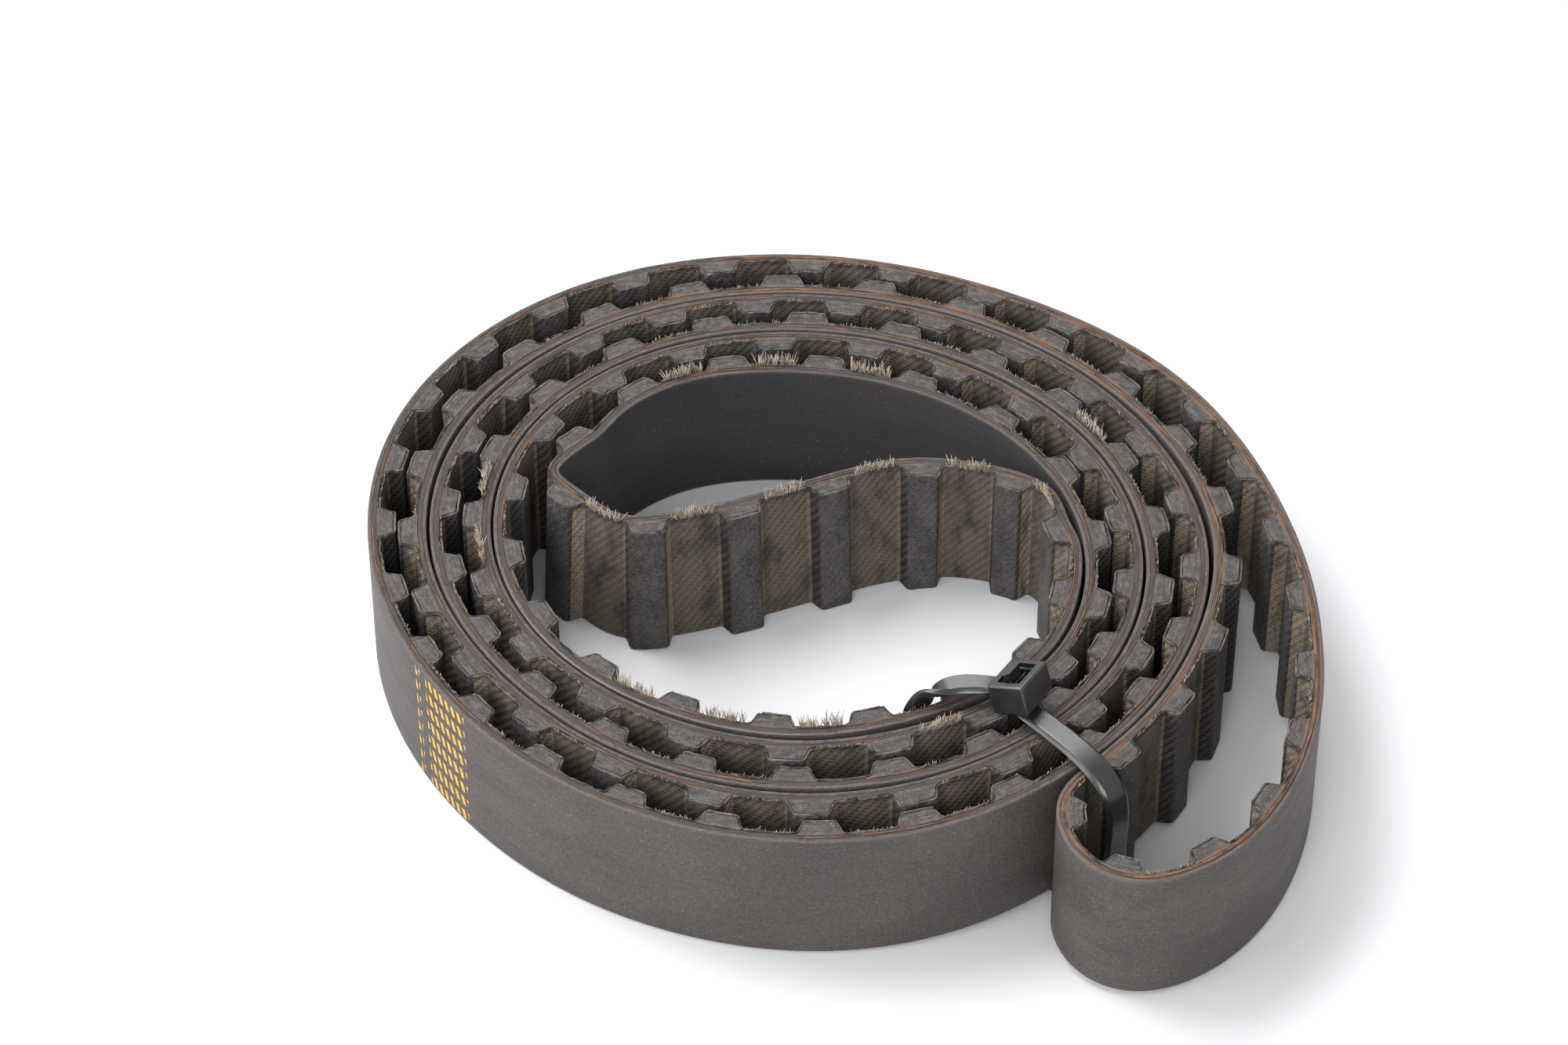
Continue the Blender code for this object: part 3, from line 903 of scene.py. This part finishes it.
def edge_material():
    """The belt's cut edge: grey-black rubber, smeared along the belt, dusty and rusty at the cords."""
    graph = Graph("cut_rubber_edge")
    belt = graph.belt()
    along, _up, across = graph.split(belt)
    cloud = graph.stretched(belt, (0.22, 0.22, 0.6), 4.0, 0.6)
    scuff = graph.stretched(belt, (0.22, 0.5, 4.5), 5.0, 0.7)
    blotch = graph.stretched(belt, (0.75, 0.75, 1.1), 4.0, 0.65)
    grain = graph.noise(graph.place(), 4.0, 4.0, 0.7)
    colour = graph.mix(graph.span(cloud, 0.35, 0.68), (0.033, 0.030, 0.031), (0.072, 0.062, 0.060))
    colour = graph.mix(graph.span(blotch, 0.50, 0.60, 0.0, 0.65), colour, (0.112, 0.106, 0.109))
    colour = graph.mix(graph.span(blotch, 0.42, 0.34, 0.0, 0.6), colour, (0.022, 0.020, 0.021))
    colour = graph.mix(graph.span(scuff, 0.52, 0.64, 0.0, 0.7), colour, (0.150, 0.118, 0.096))
    colour = graph.mix(graph.span(scuff, 0.44, 0.34, 0.0, 0.75), colour, (0.018, 0.017, 0.018))
    colour = graph.mix(graph.span(grain, 0.52, 0.70, 0.0, 0.6), colour, (0.17, 0.145, 0.125))
    colour = graph.mix(graph.span(grain, 0.44, 0.32, 0.0, 0.6), colour, (0.020, 0.018, 0.018))
    spread = graph.times(rusty(graph, along, across), graph.span(scuff, 0.38, 0.56, 0.25, 0.95))
    colour = graph.mix(spread, colour, (0.165, 0.104, 0.078))
    fleck = graph.span(graph.spots(graph.place(), 1.3), 0.13, 0.05)
    fleck = graph.times(fleck, graph.span(cloud, 0.46, 0.56))
    colour = graph.mix(fleck, colour, (0.28, 0.21, 0.15))
    relief = graph.plus(grain, graph.times(scuff, 0.9))
    graph.bump(relief, 0.13, 0.85)
    return graph.finish(colour, graph.span(cloud, 0.3, 0.75, 0.55, 0.80), 0.38)


def cord_material():
    """The cord line on the cut edge: rusty brown fibre, smeared over with rubber in places."""
    graph = Graph("tension_cord_fibre")
    belt = graph.belt()
    along, _up, across = graph.split(belt)
    fibre = graph.stretched(belt, (0.35, 0.3, 9.0), 4.0, 0.7)
    smear = graph.stretched(belt, (0.10, 0.1, 1.5), 4.0, 0.6)
    colour = graph.mix(graph.span(fibre, 0.35, 0.7), (0.075, 0.048, 0.038), (0.200, 0.110, 0.070))
    covered = graph.mix(graph.span(fibre, 0.35, 0.7), (0.034, 0.031, 0.031), (0.085, 0.070, 0.062))
    bare = graph.times(rusty(graph, along, across), graph.span(smear, 0.56, 0.44))
    colour = graph.mix(bare, covered, colour)
    graph.bump(fibre, 0.12, 0.8)
    return graph.finish(colour, 0.8, 0.3)


def strand_material():
    graph = Graph("surfaced_cord_strand")
    tone = graph.noise(graph.place(), 0.35, 3.0)
    colour = graph.mix(graph.span(tone, 0.4, 0.62), (0.24, 0.125, 0.070), (0.085, 0.060, 0.048))
    fibre = graph.noise(graph.place(), 9.0, 2.0)
    graph.bump(fibre, 0.04, 0.6)
    return graph.finish(colour, 0.85, 0.25)


def facing_material():
    """Nylon twill on the lands, worn smooth and pitted on the tooth tips, dusty on one flank."""
    graph = Graph("nylon_twill_facing")
    belt = graph.belt()
    run, up, height = graph.split(belt)
    wander = graph.stretched(belt, (0.5, 0.5, 0.0), 2.0)
    slanted = graph.plus(graph.times(run, 0.75), graph.times(up, 0.66))
    slanted = graph.plus(slanted, graph.times(wander, 0.5))
    rib = graph.span(graph.wave(slanted, TWILL_STEP), -0.5, 0.6)
    across = graph.plus(graph.times(run, -0.66), graph.times(up, 0.75))
    across = graph.plus(across, graph.times(slanted, 0.35))
    yarn = graph.wave(across, YARN_STEP)
    weave = graph.times(rib, graph.span(yarn, -0.9, 0.5, 0.25, 1.0))
    tip = graph.span(height, 0.80, 0.99)
    patches = graph.stretched(belt, (0.30, 0.16, 1.0), 4.0, 0.6)
    grain = graph.noise(belt, 3.4, 4.0, 0.7)
    dusty = graph.mix(graph.span(patches, 0.36, 0.66), (0.025, 0.0225, 0.0225), (0.056, 0.049, 0.046))
    dusty = graph.mix(graph.span(grain, 0.50, 0.68, 0.0, 0.5), dusty, (0.120, 0.104, 0.095))
    colour = graph.mix(weave, dusty, (0.014, 0.013, 0.013))
    bare = graph.mix(graph.span(patches, 0.38, 0.64), (0.038, 0.035, 0.036), (0.078, 0.071, 0.071))
    bare = graph.mix(graph.span(grain, 0.50, 0.66, 0.0, 0.7), bare, (0.125, 0.112, 0.105))
    bare = graph.mix(graph.span(grain, 0.45, 0.36, 0.0, 0.85), bare, (0.012, 0.011, 0.012))
    colour = graph.mix(tip, colour, bare)
    early = graph.span(graph.math("FRACT", graph.math("DIVIDE", run, TOOTH_RUN)), 0.49, 0.51, 1.0, 0.0)
    flank = graph.times(graph.window(height, 0.04, 0.74, 0.06), early)
    corner = graph.window(height, 0.02, 0.12, 0.06)
    settled = graph.larger(flank, graph.times(corner, 0.6))
    settled = graph.times(settled, graph.span(patches, 0.34, 0.50, 0.35, 0.95))
    settled = graph.times(settled, graph.span(grain, 0.36, 0.50, 0.4, 1.0))
    settled = graph.times(settled, graph.span(up, WIDTH - 0.15, WIDTH - 0.9))
    colour = graph.mix(settled, colour, (0.27, 0.22, 0.165))
    lint = graph.span(graph.plus(up, graph.times(grain, 1.4)), WIDTH - 0.05, WIDTH + 0.55)
    lint = graph.times(lint, graph.span(patches, 0.45, 0.60, 0.05, 0.7))
    colour = graph.mix(lint, colour, (0.15, 0.122, 0.098))
    relief = graph.math("SUBTRACT", graph.times(grain, 0.5), weave)
    relief = graph.times(relief, graph.span(tip, 0.0, 1.0, 1.0, 0.55))
    graph.bump(relief, 0.14, 0.9)
    return graph.finish(colour, graph.span(tip, 0.0, 1.0, 0.9, 0.62), 0.32)


def thread_material():
    graph = Graph("frayed_nylon_thread")
    tone = graph.noise(graph.place(), 0.8, 3.0)
    colour = graph.mix(graph.span(tone, 0.35, 0.7), (0.20, 0.155, 0.115), (0.56, 0.46, 0.35))
    graph.shader.inputs["Sheen Weight"].default_value = 0.3
    return graph.finish(colour, 0.85, 0.25)


def tie_material(name, base, rough_low, rough_high):
    """Moulded black nylon with a satin skin, faint flow marks and fine scratches."""
    graph = Graph(name)
    spot = graph.place()
    flow = graph.stretched(spot, (0.35, 0.35, 0.35), 3.0)
    scratch = graph.stretched(spot, (3.0, 3.0, 0.6), 4.0, 0.7)
    dust = graph.noise(spot, 3.2, 2.0, 0.8)
    colour = graph.mix(graph.span(flow, 0.35, 0.7), base, tuple(channel * 1.7 for channel in base))
    colour = graph.mix(graph.span(dust, 0.66, 0.76, 0.0, 0.6), colour, (0.12, 0.11, 0.10))
    graph.bump(graph.plus(scratch, flow), 0.015, 0.35)
    graph.shader.inputs["Coat Weight"].default_value = 0.5
    graph.shader.inputs["Coat Roughness"].default_value = 0.18
    return graph.finish(colour, graph.span(scratch, 0.3, 0.75, rough_low, rough_high), 0.6)


# --- studio ---------------------------------------------------------------------------------------

def build_floor():
    graph = Graph("studio_paper")
    # Painted shading: the floor's colour drifts slowly and faintly to a darker, bluer grey, standing in
    # for the light's falloff across the floor.
    tone = graph.noise(graph.place(), 0.004, 2.0)
    colour = graph.mix(tone, (0.745, 0.745, 0.775), (0.765, 0.765, 0.785))
    material = graph.finish(colour, 0.65, 0.3)
    work = bmesh.new()
    bmesh.ops.create_grid(work, x_segments=2, y_segments=2, size=4.0)
    mesh = mesh_from("studio_floor", work)
    mesh.materials.append(material)
    linked("studio_floor", mesh)


def area_light(name, place_m, aim_m, size, watts, colour=(1.0, 1.0, 1.0)):
    light = bpy.data.lights.new(name, "AREA")
    light.shape = "DISK"
    light.size = size
    light.energy = watts
    light.color = colour
    lamp = linked(name, light)
    lamp.location = place_m
    lamp.rotation_euler = (Vector(aim_m) - Vector(place_m)).to_track_quat("-Z", "Y").to_euler()


def build_studio():
    build_floor()
    world = bpy.data.worlds.new("studio_world")
    world.use_nodes = True
    background = world.node_tree.nodes["Background"]
    background.inputs["Color"].default_value = (1.0, 1.0, 1.0, 1.0)
    background.inputs["Strength"].default_value = WORLD_STRENGTH
    scene = bpy.context.scene
    scene.world = world
    scene.view_settings.view_transform = "Standard"
    area_light("key_light", (-0.40, 0.25, 0.75), (-0.04, 0.03, 0.0), 0.5, 6.5)
    area_light("front_fill", (-0.20, -0.85, 0.60), (0.0, 0.0, 0.0), 0.7, 6.0)
    area_light("back_panel", (-0.10, 0.80, 0.78), (-0.05, 0.0, 0.0), 0.7, 4.0)
    area_light("side_fill", (-0.8, -0.25, 0.40), (0.0, 0.0, 0.0), 0.6, 3.0)


def build_camera():
    camera = bpy.data.cameras.new("photo_camera")
    camera.lens = CAMERA_LENS
    camera.sensor_width = SENSOR_WIDTH
    camera.clip_start = 0.01
    camera.clip_end = 20.0
    holder = linked("photo_camera", camera)
    middle = Vector((*FOOTPRINT_MIDDLE, 0.0))
    holder.location = (Vector(CAMERA_PLACE) - middle) * MM
    holder.rotation_euler = (math.pi / 2 - CAMERA_DIP, 0.0, 0.0)
    bpy.context.scene.camera = holder


# --- the scene ------------------------------------------------------------------------------------

ROUTE = Route()
FOOTPRINT_MIDDLE = footprint_middle(ROUTE)
TOOTH_RUN = surface_run(tooth_outline()[0])[-1]


def main():
    edge = edge_material()
    tie = tie_material("tie_nylon_skin", (0.011, 0.011, 0.012), 0.26, 0.40)
    backing = build_backing(ROUTE, backing_material(), edge)
    cord = build_cord(ROUTE, cord_material())
    rubber = build_toothed_rubber(ROUTE, edge)
    facing = build_facing(ROUTE, facing_material())
    threads = build_threads(ROUTE, thread_material())
    strands = build_edge_cords(ROUTE, strand_material())
    band = build_strap(tie)
    head = build_head(tie)
    pawl = build_pawl(tie_material("tie_pawl_nylon", (0.013, 0.013, 0.014), 0.22, 0.36))
    backing_spans = [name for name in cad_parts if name.startswith("backing_span")]
    rubber_spans = [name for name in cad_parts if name.startswith("toothed_rubber_span")]
    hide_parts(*backing_spans)
    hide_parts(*rubber_spans)
    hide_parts("tension_cord_layer")
    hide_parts("nylon_facing")
    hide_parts("tie_strap")
    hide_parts("tie_head")
    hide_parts("tie_pawl")
    build_studio()
    build_camera()


main()
